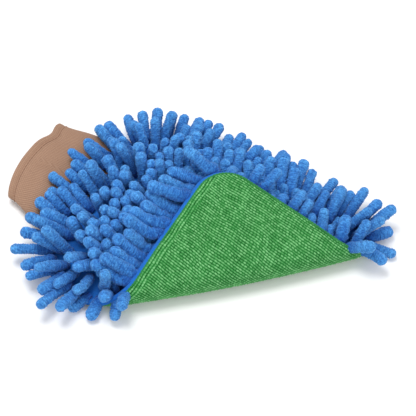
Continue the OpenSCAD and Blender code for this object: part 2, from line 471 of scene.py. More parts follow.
def knit_material():
    """Tan rib knit, with painted shade in the grooves between ribs and along the hem's dent."""
    mat, shader = cloth("rib_knit_tan", 0.92, 0.1, (0.95, 0.78, 0.66))
    # Painted shade: darker in the grooves between ribs and courses and in the hem's dent, lighter on the
    # ribs.
    base = ramp(mat, attribute(mat, "rib"), [(0.0, (0.27, 0.155, 0.1)), (1.0, (0.415, 0.262, 0.184))])
    worn = object_noise(mat, 35.0, 2.0)
    base = tinted(mat, base, worn, [(0.3, (0.93, 0.92, 0.91)), (0.7, (1.05, 1.05, 1.05))])
    fuzz = object_noise(mat, 1500.0, 3.0)
    base = tinted(mat, base, fuzz, [(0.3, (0.86, 0.85, 0.84)), (0.7, (1.1, 1.1, 1.1))])
    link(mat, base, shader.inputs["Base Color"])
    bump(mat, shader, fuzz, 0.0004, 0.6)
    return mat


CHENILLE = chenille_material()
TERRY = terry_material()
BASE_CLOTH = cloth_material("base_cloth_blue", (0.014, 0.15, 0.56), 700.0)
LINING = cloth_material("lining_grey", (0.5, 0.57, 0.64), 900.0)
KNIT = knit_material()
CUFF_THREAD = cloth_material("cuff_thread_brown", (0.33, 0.17, 0.105), 1500.0)
SEAM_THREAD = cloth_material("seam_green", (0.035, 0.24, 0.06), 1500.0)


def set_attribute(piece, name, values):
    layer = piece.data.attributes.new(name, "FLOAT", "POINT")
    layer.data.foreach_set("value", np.asarray(values, np.float32))


# ---- Terry back cloth ----

ROW_STEP = 1.9
LOOP_STEP = 2.7
EDGE_RIBS = 7.0
RIB_STEP = 2.3
LOOP_HEIGHT = 0.95
TERRY_T = 2.2
COARSE_GRID = (0.95, 1.35)
FINE_GRID = (0.475, 0.675)
FINE_FROM = -16.0
FINE_TO = WALL + 12


def scatter(value):
    """Repeatable random number from 0 to 1 for each whole number."""
    return np.modf(np.abs(np.sin(value * 12.9898 + 4.1) * 43758.5453))[0]


def loop_rows(across, along, pitch, length):
    """Raised loops in rows: across and along are distances, in millimetres."""
    wander = 0.35 * np.sin(along / 9.0 + across / 31.0) + 0.25 * np.sin(along / 3.7 + across / 14.0)
    row = np.floor((across + wander) / pitch)
    in_row = (across + wander) / pitch - row - 0.5
    cell_at = along / length + scatter(row)
    cell = np.floor(cell_at)
    in_cell = cell_at - cell - 0.5
    seed = row * 157.0 + cell
    size = 0.55 + 0.45 * scatter(seed)
    lean = 0.25 * (scatter(seed + 0.5) - 0.5)
    shape = np.clip(1 - (2.1 * (in_row + lean * in_cell)) ** 2, 0, 1)
    return shape * (0.35 + 0.65 * np.clip(1 - (2.0 * in_cell) ** 4, 0, 1)) * size


def loop_height(x, y):
    """Rows of loops across the mitt, and ribs beside the seams of the two sides."""
    rows = loop_rows(x, y, ROW_STEP, LOOP_STEP)
    side = HALF_W - np.abs(y)
    ribs = loop_rows(side, x, RIB_STEP, LOOP_STEP * 0.8)
    at_side = smooth((EDGE_RIBS + 0.8 - side) / 1.6)
    return rows * (1 - at_side) + ribs * at_side


def face_height(x, y):
    """Outer face of the back: level, rolled up to the seam at the edge, softly uneven."""
    inside = np.maximum(-past_edge(x, y), 0)
    roll = SEAM_Z * (1 - smooth(inside / 7.0))
    past = smooth((past_crease(x, y) - WALL - 6) / 20)
    uneven = 0.8 * np.sin(x / 23.0 + 0.6) * np.sin(y / 19.0 - 0.8) + 0.4 * np.sin((x - y) / 12.0)
    return roll - past * uneven * smooth(inside / 20)


def rim_walls(faces, count):
    """Quads between the open rims of a sheet of count points and of its other side."""
    sides = [faces[:, [k, (k + 1) % 4]] for k in range(4)]
    unique, uses = np.unique(np.sort(np.vstack(sides), axis=1), axis=0, return_counts=True)
    rim = {tuple(edge) for edge in unique[uses == 1]}
    walls = []
    for a, b in np.vstack(sides):
        if (min(a, b), max(a, b)) in rim:
            walls.append([a, b, b + count, a + count])
    return walls


def terry_sheet(s_low, s_high, grid):
    """Closed flat-layout mesh of the back cloth, from just before s_low to just past s_high."""
    dx, dy = grid
    xs = np.arange(-HALF_LEN - dx, HALF_LEN + 2 * dx, dx)
    ys = np.arange(-HALF_W - dy, HALF_W + 2 * dy, dy)
    gx, gy = np.meshgrid(xs, ys, indexing="ij")
    x, y = gx.ravel(), gy.ravel()
    out = past_edge(x, y)
    reach = max(dx, dy)
    nx, ny = edge_normal(x, y)
    snap = out > -0.35 * reach
    x = np.where(snap, x - out * nx, x)
    y = np.where(snap, y - out * ny, y)
    keep = out < 0.75 * reach
    s = past_crease(x, y)
    margin = 3 * reach
    if s_low is not None:
        keep &= s > s_low - margin
    if s_high is not None:
        keep &= s < s_high + margin
    quads = np.array(grid_faces(len(xs), len(ys)))
    quads = quads[keep[quads].all(axis=1)]
    used = np.unique(quads)
    remap = np.full(len(x), -1)
    remap[used] = np.arange(len(used))
    faces = remap[quads]
    x, y = x[used], y[used]
    count = len(x)
    edge_fade = smooth(-past_edge(x, y) / 0.9)
    outer = face_height(x, y) - LOOP_HEIGHT * loop_height(x, y) * edge_fade
    inner = face_height(x, y) + TERRY_T * smooth(-past_edge(x, y) / 3)
    points = np.vstack([np.column_stack([x, y, outer]), np.column_stack([x, y, inner + 0.25])])
    return points, faces[:, ::-1].tolist() + (faces + count).tolist() + rim_walls(faces, count)


def finish_strip(piece, joint, nodes):
    """Bake the transform of a strip over a crease, and hide the parts of the model that it stands for."""
    if joint:
        blend_across(piece, joint)
    if nodes:
        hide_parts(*nodes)


def add_terry(name, s_low, s_high, grid, body, joint, nodes):
    """Strip of the back cloth, riding on a body, or lying folded over a crease on no body."""
    points, faces = cut_at_crease(*terry_sheet(s_low, s_high, grid), s_low, s_high)
    piece = new_mesh(name, fold(points), faces, body, TERRY, "terry")
    x, y, h = points.T
    inside = np.maximum(-past_edge(x, y), 0)
    proud = (face_height(x, y) - h) / LOOP_HEIGHT
    # loop is how far each point stands proud, for the painted shade between the loops.
    set_attribute(piece, "loop", np.where(inside < 0.5, 0.45, np.clip(proud, 0, 1)))
    finish_strip(piece, joint, nodes)


add_terry("terry_back", None, FINE_FROM, COARSE_GRID, "mitt", None, ["back_cloth"])
add_terry("terry_fold_lower", FINE_FROM, WALL / 2, FINE_GRID, None, "lower", [])
add_terry("terry_fold_upper", WALL / 2, FINE_TO, FINE_GRID, None, "upper", ["fold_back_cloth"])
add_terry("terry_corner", FINE_TO, None, FINE_GRID, "corner", None, ["corner_back_cloth"])


# ---- Base cloth of the palm, with its rolled edge ----

BASE_AROUND = 360
BASE_RINGS = 56
BASE_T = 1.0
FLAT_PART = 34.0


def base_profile():
    """Rings of the base cloth from its middle out over the rolled rim, then back along its under side."""
    border, normal = outline_points(BASE_AROUND)
    rings = []
    for share in np.linspace(0.02, 1.0, BASE_RINGS) ** 0.8:
        p = border * share
        rings.append(np.column_stack([p, base_height(p[:, 0], p[:, 1])]))
    reach = rim_out(border[:, 0], border[:, 1])[:, None]
    for angle in np.radians(np.linspace(75, -90, 12)):
        p = border + normal * reach * math.cos(angle)
        z = RIM_MID_Z + (RIM_Z - RIM_MID_Z) * math.sin(angle)
        rings.append(np.column_stack([p, np.full(len(p), z)]))
    rings.append(np.column_stack([border * 0.985, np.full(BASE_AROUND, RIM_MID_Z)]))
    under = [ring - (0, 0, BASE_T) for ring in rings[:BASE_RINGS - 4]]
    return rings + under[::-1]


def add_base(name, s_low, s_high, body, joint, nodes):
    """Strip of the base cloth, riding on a body, or lying folded over a crease on no body."""
    points, faces = cut_at_crease(*closed_shell(base_profile()), s_low, s_high)
    piece = new_mesh(name, fold(points), faces, body, BASE_CLOTH, "base_cloth")
    finish_strip(piece, joint, nodes)


add_base("base_cloth_palm", None, -FLAT_PART, "mitt", None, ["palm_base_cloth", "row_stitching"])
add_base("base_cloth_fold_lower", -FLAT_PART, WALL / 2, None, "lower", [])
add_base("base_cloth_fold_upper", WALL / 2, WALL + FLAT_PART, None, "upper", ["fold_base_cloth"])
add_base("base_cloth_corner", WALL + FLAT_PART, None, "corner", None,
         ["corner_base_cloth", "corner_row_stitching"])


# ---- Chenille: where each noodle is sewn and which way it starts ----

def unit(vectors):
    return vectors / np.linalg.norm(vectors, axis=1)[:, None]


def frame_at(x, y, half):
    """World place and directions (outward from the cloth, to the nearest edge) at a flat point."""
    def pile_side(px, py, lift=0.0, round_part=BEND_LEN):
        return fold(np.column_stack([px, py, base_height(px, py) + lift]), round_part)

    nx, ny = edge_normal(x, y)
    step = 0.5
    here = pile_side(x, y, round_part=half)
    up = pile_side(x, y, step, half) - here
    dx = pile_side(x + step, y) - pile_side(x, y)
    dy = pile_side(x, y + step) - pile_side(x, y)
    return here, unit(up), unit(dx * nx[:, None] + dy * ny[:, None])


def noodle_roots():
    """Row and flat place of every noodle: rows across the palm, and an even line round the edge."""
    i, j = np.meshgrid(np.arange(ROWS), np.arange(COLUMNS), indexing="ij")
    x = (i.ravel() - (ROWS - 1) / 2) * ROW_PITCH
    y = (j.ravel() - (COLUMNS - 1) / 2) * NOODLE_PITCH
    keep = -past_edge(x, y) > EDGE_ROW + GRID_CLEAR
    edge, normal = outline_points(EDGE_NOODLES)
    depth = np.where(past_crease(edge[:, 0], edge[:, 1]) > CORNER_FROM, FLAP_EDGE_ROW, EDGE_ROW)
    edge = edge - depth[:, None] * normal
    x = np.concatenate([x[keep], edge[:, 0]])
    y = np.concatenate([y[keep], edge[:, 1]])
    spread = np.where(np.arange(len(x)) < keep.sum(), GRID_SCATTER, EDGE_SCATTER)
    x = x + rng.normal(0, 1, len(x)) * spread
    y = y + rng.normal(0, 1, len(y)) * spread
    row = np.clip(np.round(x / ROW_PITCH + (ROWS - 1) / 2), 0, ROWS - 1).astype(int)
    return row, x, y


# Edge noodles from here on ride on the fold's wall, and on the folded corner
WALL_FROM = -3.0
CORNER_FROM = WALL + 4

row_of, root_x, root_y = noodle_roots()
root_s = past_crease(root_x, root_y)
NOODLES = len(row_of)
lengths = NOODLE_LEN * rng.uniform(0.82, 1.12, NOODLES)
radii = NOODLE_R * rng.uniform(0.9, 1.1, NOODLES)
inside = -past_edge(root_x, root_y)
at_edge = inside < EDGE_BAND
on_corner = root_s > np.where(at_edge, CORNER_FROM, WALL)
on_wall = (root_s > np.where(at_edge, WALL_FROM, 0)) & ~on_corner

# Inner noodles are sewn where the cloth lies when the fold is opened out
here, up, out = frame_at(root_x, root_y, np.where(at_edge, BEND_LEN, 0.0))

TURN = 2 * FOLD
CORNER_ORIGIN = CREASE + WALL * ACROSS
CORNER_START = (upper_hinge[:2] - CREASE) @ ALONG


def corner_flat(points):
    """World points near the folded corner to the corner's flat layout."""
    rel = points - upper_hinge
    s = rel[:, 0] * ACROSS[0] + rel[:, 1] * ACROSS[1]
    t = rel[:, 0] * ALONG[0] + rel[:, 1] * ALONG[1]
    flat_s = s * math.cos(TURN) + rel[:, 2] * math.sin(TURN)
    h = HINGE_Z - s * math.sin(TURN) + rel[:, 2] * math.cos(TURN)
    xy = CORNER_ORIGIN + flat_s[:, None] * ACROSS + (t + CORNER_START)[:, None] * ALONG
    return np.column_stack([xy, h]), flat_s


def corner_world(flat):
    """The corner's flat layout back to world, without the bow."""
    rel = flat[:, :2] - CORNER_ORIGIN
    s, t = rel @ ACROSS, rel @ ALONG
    ws = s * math.cos(TURN) - (flat[:, 2] - HINGE_Z) * math.sin(TURN)
    wz = s * math.sin(TURN) + (flat[:, 2] - HINGE_Z) * math.cos(TURN)
    xy = upper_hinge[:2] + ws[:, None] * ACROSS + (t - CORNER_START)[:, None] * ALONG
    return np.column_stack([xy, upper_hinge[2] + wz])


# Groups of noodles. Under the corner and beside it they have less room
flat_here, flat_s = corner_flat(here)
under_edge = past_edge(flat_here[:, 0], flat_here[:, 1])
near_corner = ~on_corner & ~on_wall & (flat_s > -8) & (root_s < 0)
under = near_corner & (under_edge < 3)
beside = near_corner & ~under & ~at_edge & (under_edge < 17) & (flat_here[:, 1] < -HALF_W)
flap = on_corner | on_wall
side_row = on_corner & at_edge & (root_y < -HALF_W + 12)
tip_row = on_corner & at_edge & ~side_row
fold_end = at_edge & (root_s > -13) & ~on_corner
near_end = fold_end & (root_y < 0)
far_end = fold_end & ~near_end
palm_edge = at_edge & ~on_corner & ~fold_end
right_end = palm_edge & (root_x > HALF_LEN - 20) & (root_y > HALF_W - 40)
near_left = palm_edge & (root_x < CREASE[0]) & (root_y < -HALF_W + 20)

# Room above each root, and the thinner and shorter noodles where there is little of it
FREE_ROOM = 99.0
WALL_ROOM = 13.0
WALL_LEN = 22.0
ROOM_PER_RADIUS = 4.4
THINNEST = 1.7
NEAR_END_LEN = 0.62 * NOODLE_LEN
FAR_END_LEN = 0.82 * NOODLE_LEN
palm_below = np.where(past_edge(here[:, 0], here[:, 1]) < 0, base_height(here[:, 0], here[:, 1]), 0.0)
room = np.full(NOODLES, FREE_ROOM)
room[under] = flat_here[under, 2] - PRESSED_Z
room[on_corner] = here[on_corner, 2] - palm_below[on_corner]
room[on_wall] = WALL_ROOM
squeezed = np.where(at_edge, FREE_ROOM, np.clip(room / ROOM_PER_RADIUS, THINNEST, None))
radii = np.minimum(radii, squeezed)
lengths = np.where(at_edge, lengths, lengths * np.clip(0.55 + room / 60, 0, 1))
lengths[on_wall & ~at_edge] = WALL_LEN
lengths[side_row] = NOODLE_LEN * rng.uniform(1.1, 1.25, side_row.sum())
lengths[tip_row] = NOODLE_LEN * rng.uniform(0.5, 0.8, tip_row.sum())
radii[side_row] = NOODLE_R * rng.uniform(1.1, 1.22, side_row.sum())
lengths[beside] *= 0.8

# Start directions: upright in the middle, lying outwards at the edges, in loose clumps
UP = np.array([0, 0, 1.0])
AWAY = np.append(-ACROSS, 0.0)
LEFT = np.array([-1.0, 0, 0])
clump = np.column_stack([
    np.sin(root_x / 19 + 1.1) * np.cos(root_y / 16 + 0.4),
    np.sin(root_y / 18 - 0.7) * np.cos(root_x / 23 + 2.0),
    np.zeros(NOODLES)])
stray = rng.normal(0, 1, (NOODLES, 3))
jitter = 0.26 * clump + 0.33 * stray
lean = np.radians(72) * smooth(1 - (inside - 4) / 36) + np.radians(4)
start_dir = up * np.cos(lean)[:, None] + out * np.sin(lean)[:, None]
start_dir += np.where(at_edge[:, None], 0.15 * stray, jitter)


def leaning(space, side, least, most):
    """Direction that rises as far as the space allows, and goes to one side for the rest."""
    rise = np.clip(space / lengths, least, most)[:, None]
    return UP * rise + side * np.sqrt(1 - rise ** 2)


def point(which, direction):
    """Set the start direction of one group of noodles."""
    start_dir[which] = direction[which]


edge_share = smooth(1 - (inside - EDGE_BAND) / 18)[:, None]
lying = AWAY * (1 - edge_share) + out * edge_share
point(flap & ~at_edge, lying + 0.10 * up + 0.12 * stray)
point(under & ~at_edge, leaning(room - 2 * radii, AWAY, 0.05, 0.95) + 0.12 * stray)
point(near_end, (-0.6, -0.8, -0.05) + 0.08 * stray)
start_dir[near_end & on_wall] += (-0.45, 0.45, 0.1)
point(far_end, (0.7, 0.75, 0.05) + 0.08 * stray)
lengths[near_end] = NEAR_END_LEN
lengths[far_end] = FAR_END_LEN
beside_room = flat_here[:, 2] - PRESSED_Z - 1.7 * NOODLE_R - radii
point(beside, leaning(beside_room, LEFT, 0.02, 0.9) + 0.2 * stray)
point(tip_row, 0.5 * out + (0.05, -0.1, 0.7) + 0.4 * stray)
point(side_row, out + (0, -0.85, -0.12) + 0.07 * stray)
start_dir[right_end] += (0.0, 0.7, 0.2)
start_dir[near_left] += (0.0, -0.5, -0.1)
start_dir = unit(start_dir)


# ---- Chenille: settling the noodles against each other, the cloth and the floor ----

SEGMENTS = 6
SETTLE_STEPS = 140
SOFTNESS = 0.96
SAG = 0.07
ROOT_STIFFNESS = 0.25
BEND_STIFFNESS = 0.16
PUSH_SHARE = 0.3
SEARCH_EVERY = 5
SEARCH_REACH = 2.6 * NOODLE_R
WALL_FACE = 6.0
TINY = 1e-6
RIM_REACH = 3.0
DROP_REACH = 18


def push_out_of_pad(flat, radius, top, beneath):
    """Move points in a flat layout off a rounded pad, to its pile side or past its edge."""
    x, y, h = flat.T
    out_by = past_edge(x, y) - rim_out(x, y)
    nx, ny = edge_normal(x, y)
    side_gap = radius - out_by
    top_gap = top + radius - h
    hit = (side_gap > 0) & (top_gap > 0)
    near_side = (out_by > -RIM_REACH) | ~beneath
    above = h > -radius - DROP_REACH * ~beneath
    use_side = hit & near_side & ((side_gap < top_gap) | ~beneath) & above
    use_top = hit & beneath & ~use_side
    moved = flat.copy()
    shift = np.minimum(side_gap, RIM_REACH)
    moved[use_side, 0] += (shift * nx)[use_side]
    moved[use_side, 1] += (shift * ny)[use_side]
    moved[use_top, 2] += top_gap[use_top]
    return moved


def close_pairs(points, owner, reach):
    """Index pairs of points of different noodles nearer than reach, by cell."""
    cell = np.floor(points / reach).astype(int)
    cell -= cell.min(axis=0)
    span = cell.max(axis=0) + 3
    key = (cell[:, 0] * span[1] + cell[:, 1]) * span[2] + cell[:, 2]
    order = np.argsort(key, kind="stable")
    sorted_key = key[order]
    found = []
    for dx, dy, dz in product((-1, 0, 1), repeat=3):
        shifted = key + (dx * span[1] + dy) * span[2] + dz
        first = np.searchsorted(sorted_key, shifted, "left")
        count = np.searchsorted(sorted_key, shifted, "right") - first
        a = np.repeat(np.arange(len(key)), count)
        offset = np.arange(count.sum()) - np.repeat(np.cumsum(count) - count, count)
        b = order[np.repeat(first, count) + offset]
        ok = (a < b) & (owner[a] != owner[b])
        found.append(np.column_stack([a[ok], b[ok]]))
    pairs = np.vstack(found)
    gap = np.linalg.norm(points[pairs[:, 0]] - points[pairs[:, 1]], axis=1)
    return pairs[gap < reach]


def settle(steps):
    """Position-based settling of every noodle's centre line."""
    count = SEGMENTS + 1
    seg = ((lengths - radii) / SEGMENTS)[:, None]
    roots = here + up
    lines = roots[:, None, :] + start_dir[:, None, :] * (np.arange(count)[None, :, None] * seg[:, None])
    owner = np.repeat(np.arange(NOODLES), count)
    point_r = np.repeat(radii * SOFTNESS, count)
    beneath = np.repeat(flap | under, count)
    free = np.repeat(fold_end, count)
    sag = SAG * np.linspace(0.3, 1.6, SEGMENTS)
    first = roots + start_dir * seg
    for step in range(steps):
        lines[:, 1:, 2] -= sag
        for half in range(2):
            lines[:, 0] = roots
            lines[:, 1] += ROOT_STIFFNESS * (first - lines[:, 1])
            for k in range(1, count - 1):
                straight = 2 * lines[:, k] - lines[:, k - 1]
                lines[:, k + 1] += BEND_STIFFNESS * (straight - lines[:, k + 1])
            flat = lines.reshape(-1, 3)
            if half == 0 and step % SEARCH_EVERY == 0:
                a, b = close_pairs(flat, owner, SEARCH_REACH).T
            d = flat[b] - flat[a]
            dist = np.linalg.norm(d, axis=1) + TINY
            over = point_r[a] + point_r[b] - dist
            hit = over > 0
            shift = (d[hit] / dist[hit, None]) * (PUSH_SHARE * over[hit, None])
            np.add.at(flat, a[hit], -shift)
            np.add.at(flat, b[hit], shift)
            lines = keep_clear(flat.reshape(NOODLES, count, 3), beneath, free, point_r)
            for k in range(count - 1):
                d = lines[:, k + 1] - lines[:, k]
                size = np.linalg.norm(d, axis=1)[:, None] + TINY
                lines[:, k + 1] = lines[:, k] + d / size * seg
    return keep_clear(lines, beneath, free, point_r)


CUFF_SEWN_TOP = 8.0
CUFF_RISE = 34.0


def cuff_top(x):
    """Height of the cuff: pressed flat at the seam, open at the mouth."""
    return CUFF_SEWN_TOP + (CUFF_TOP - CUFF_SEWN_TOP) * smooth((-HALF_LEN - x) / CUFF_RISE)


def keep_clear(lines, beneath, free, point_r):
    """Hold every point above the floor and off the palm, the folded corner, its wall and the cuff."""
    count = lines.shape[1]
    moving = np.tile(np.arange(count) > 0, len(lines))
    flat = lines.reshape(-1, 3).copy()
    x, y, z = flat.T
    s = past_crease(x, y)
    top = base_height(x, y)
    edge = past_edge(x, y) - RIM_OUT
    palm = moving & ~free & (s < -2) & (edge < point_r) & (z < top + point_r)
    side = palm & (edge > -2.5) & (point_r - edge < top + point_r - z)
    nx, ny = edge_normal(x, y)
    flat[side, 0] += ((point_r - edge) * nx)[side]
    flat[side, 1] += ((point_r - edge) * ny)[side]
    rise = palm & ~side
    flat[rise, 2] += 0.7 * (top + point_r - z)[rise]
    # the folded corner, in its own layout
    layout, flap_s = corner_flat(flat)
    zone = moving & ~free & (flap_s > 0)
    flat[zone] = corner_world(push_out_of_pad(layout[zone], point_r[zone], PRESSED_Z - 0.3, beneath[zone]))
    # the standing wall of the fold, between its two ends
    s = past_crease(flat[:, 0], flat[:, 1])
    between = past_edge(flat[:, 0], flat[:, 1]) < RIM_OUT
    low = flat[:, 2] < upper_hinge[2] + WALL_FACE
    wall = moving & ~free & low & (s > -WALL_FACE - point_r) & between
    flat[wall, :2] -= (s[wall] + WALL_FACE + point_r[wall])[:, None] * ACROSS
    # the cuff, and the floor
    over_cuff = moving & (flat[:, 0] < -HALF_LEN + 4) & (np.abs(flat[:, 1]) < CUFF_HALF_W + 4)
    cuff_z = cuff_top(flat[:, 0]) + point_r - 0.5
    flat[over_cuff, 2] = np.maximum(flat[over_cuff, 2], cuff_z[over_cuff])
    flat[moving, 2] = np.maximum(flat[moving, 2], point_r[moving] + 0.2)
    return flat.reshape(lines.shape)


centre_lines = settle(SETTLE_STEPS)


# ---- Chenille: the tufted surface of each noodle ----

RING_STEP = 0.55
AROUND = 18
ANGLES = np.linspace(0, 2 * math.pi, AROUND, endpoint=False)
ROOT_SHARE = 0.62
ROOT_TAPER = 5.0
CAP_RINGS = 6
TUFT_PITCH = 1.8
TUFT_DEPTH = 0.55
TUFT_ROUGH = 0.25
NOODLE_SEED = 1000
TINT_SEED = 50


def resample(line, step):
    """Catmull-Rom curve through a noodle's points, at even steps."""
    padded = np.vstack([2 * line[0] - line[1], line, 2 * line[-1] - line[-2]])
    fine = []
    t = np.linspace(0, 1, 10, endpoint=False)[:, None]
    for p0, p1, p2, p3 in zip(padded, padded[1:], padded[2:], padded[3:]):
        fine.append(0.5 * (2 * p1 + (p2 - p0) * t + (2 * p0 - 5 * p1 + 4 * p2 - p3) * t ** 2
                           + (3 * p1 - p0 - 3 * p2 + p3) * t ** 3))
    fine = np.vstack(fine + [line[-1:]])
    arc = arc_length(fine)
    return on_line(fine, arc, np.linspace(0, arc[-1], max(int(arc[-1] / step), 8))), arc[-1]


def noodle_profile(along, radius):
    """Curve point, radius and reach past it of every ring: narrower at the root, round at the end."""
    count = len(along)
    cap = np.radians(np.linspace(12, 84, CAP_RINGS))
    rings = np.append(np.arange(count), np.full(CAP_RINGS, count - 1))
    grown = ROOT_SHARE + (1 - ROOT_SHARE) * smooth(along / ROOT_TAPER)
    return rings, radius * np.append(grown, np.cos(cap)), radius * np.append(np.zeros(count), np.sin(cap))


def tuft_relief(place, phase, noise):
    """Height of the tufts round every ring of a noodle, at the rings' distances from the root."""
    tilt = noise.uniform(-0.9, 0.9)
    coarse = noise.normal(0, TUFT_ROUGH, (len(place) // 2 + 2, AROUND))
    drift = np.cumsum(noise.normal(0, 0.045, len(place)))
    slant = 0.2 * np.sin(3 * ANGLES + phase[0]) + 0.25 * tilt * np.cos(ANGLES + phase[1])
    wave = 0.5 + 0.5 * np.cos(2 * math.pi * ((place / TUFT_PITCH + drift)[:, None] + slant))
    twist = 3.74 * np.floor(place / TUFT_PITCH + 0.5)[:, None]
    clump = 0.5 + 0.5 * np.sin(7 * ANGLES + twist + phase[2])
    ring = np.arange(len(place))
    grain = 0.5 * (coarse[ring // 2] + coarse[(ring + 1) // 2])
    return TUFT_DEPTH * (wave * (0.55 + 0.45 * clump) - 0.55) + grain


def noodle_mesh(line, radius, seed):
    """Points, faces and the rise and ring attributes of one noodle, which carry its painted shade."""
    noise = np.random.default_rng(seed)
    curve, total = resample(line, RING_STEP)
    along = np.linspace(0, total, len(curve))
    rings, shape_r, offset = noodle_profile(along, radius)
    place = along[rings] + offset
    phase = noise.uniform(0, 2 * math.pi, 4)
    relief = tuft_relief(place, phase[1:], noise)
    lumps = 1 + 0.06 * np.sin(rings * RING_STEP / 4.5 + phase[0])
    fade = np.minimum(1, shape_r / (0.6 * radius))
    r = (shape_r * lumps)[:, None] + relief * fade[:, None]
    ahead = np.gradient(curve, axis=0)
    ahead /= np.linalg.norm(ahead, axis=1)[:, None]
    side = np.cross(ahead[0], [0.31, 0.87, 0.38])
    points = []
    for n, k in enumerate(rings):
        side = side - ahead[k] * (side @ ahead[k])
        side /= np.linalg.norm(side)
        other = np.cross(ahead[k], side)
        spoke = np.cos(ANGLES)[:, None] * side + np.sin(ANGLES)[:, None] * other
        points.append(curve[k] + ahead[k] * offset[n] + r[n][:, None] * spoke)
    points.append(curve[-1:] + ahead[-1:] * radius)
    faces = grid_faces(len(rings), AROUND, closed=True)
    last = (len(rings) - 1) * AROUND
    faces += [[last + k, last + (k + 1) % AROUND, last + AROUND] for k in range(AROUND)]
    # rise is the share of the way from root to tip, for the painted shade deep in the pile.
    rise = np.append(np.repeat(np.clip(place / total, 0, 1), AROUND), 1.0)
    # ring is the tuft relief, for the painted shade in the grooves between the tufts.
    ring = np.append(np.clip(0.5 + relief / (TUFT_DEPTH + 2 * TUFT_ROUGH), 0, 1), 1.0)
    return np.vstack(points), faces, rise, ring


def add_chenille(name, which, body, nodes):
    """One object for the noodles of a row that ride on one body."""
    parts, rise, ring, tint = [], [], [], []
    for n in which.tolist():
        points, faces, noodle_shade_rise, noodle_groove_shade = noodle_mesh(centre_lines[n], radii[n], NOODLE_SEED + n)
        parts.append((points, faces))
        rise.append(noodle_shade_rise)
        ring.append(noodle_groove_shade)
        tint.append(np.full(len(points), np.random.default_rng(TINT_SEED + n).uniform(0, 1)))
    piece = new_mesh(name, *joined(parts), body, CHENILLE, "chenille")
    for key, values in (("rise", rise), ("ring", ring), ("tint", tint)):
        set_attribute(piece, key, np.concatenate(values))
    if nodes:
        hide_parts(*nodes)


cad_nodes = set(frame["nodes"])
for row in range(ROWS):
    palm_row = np.flatnonzero((row_of == row) & ~on_corner & ~on_wall)
    corner_row = np.flatnonzero((row_of == row) & on_corner)
    for which, body, prefix in ((palm_row, "mitt", "chenille_row"),
                                (corner_row, "corner", "corner_chenille_row")):
        node = f"{prefix}_{row + 1:02d}"
        if len(which):
            add_chenille(f"pile_{node}", which, body, [node] if node in cad_nodes else [])
add_chenille("pile_fold_wall", np.flatnonzero(on_wall), "fold_wall", ["fold_chenille_row"])


# ---- Cuff ----

RIB_PITCH = 1.6
COURSE_PITCH = 1.5
RIB_DEPTH = 0.22
KNIT_T = 2.4
CUFF_AROUND = 900
CUFF_RINGS = 120
CUFF_INNER_RINGS = 24
CUFF_LEN = -HALF_LEN - CUFF_END
CUFF_TUCK = 6.0
CUFF_WIDENING = 8.0
HEM_SHARE = 0.93
HEM_DENT = 0.22
MOUTH_Z = 0.5 * (cuff_low[2] + cuff_high[2])


def cuff_ring(share, out, inner):
    """Cross-section of the cuff; share runs from the body (0) to the mouth (1)."""
    u = np.linspace(0, 2 * math.pi, CUFF_AROUND, endpoint=False)
    start = -HALF_LEN + CUFF_TUCK
    grow = -KNIT_T if inner else 0.0
    widening = CUFF_WIDENING * smooth((0.95 - share) / 0.6)
    tall = 0.5 * cuff_top(start + (CUFF_END - start) * share)
    half_w = CUFF_HALF_W + 1.0 + widening + grow + out
    half_h = max(tall - 0.4 + grow, 0.7) + out
    y = half_w * np.sign(np.cos(u)) * np.abs(np.cos(u)) ** (2 / 2.6)
    cz = np.sign(np.sin(u)) * np.abs(np.sin(u)) ** (2 / 2.2)
    waves = 0.8 * np.sin(share * 5 + y / 21.0) + 0.45 * np.sin(share * 9 - y / 9.0)
    bulge = waves * smooth(share * 2)
    z = tall + 0.2 + half_h * cz + np.where(cz > 0, bulge * cz, 0)
    # the mouth bows outward, dips where it was pulled, and its near side is drawn in
    end = CUFF_END - 2.5 + 9.5 * (y / CUFF_HALF_W) ** 2 * np.where(y < 0, 1.15, 0.2)
    end = end + 4.0 * np.exp(-((y - 26) / 8) ** 2)
    x = start + (end - start) * share
    return np.column_stack([x, y + 3.5 * share, z])


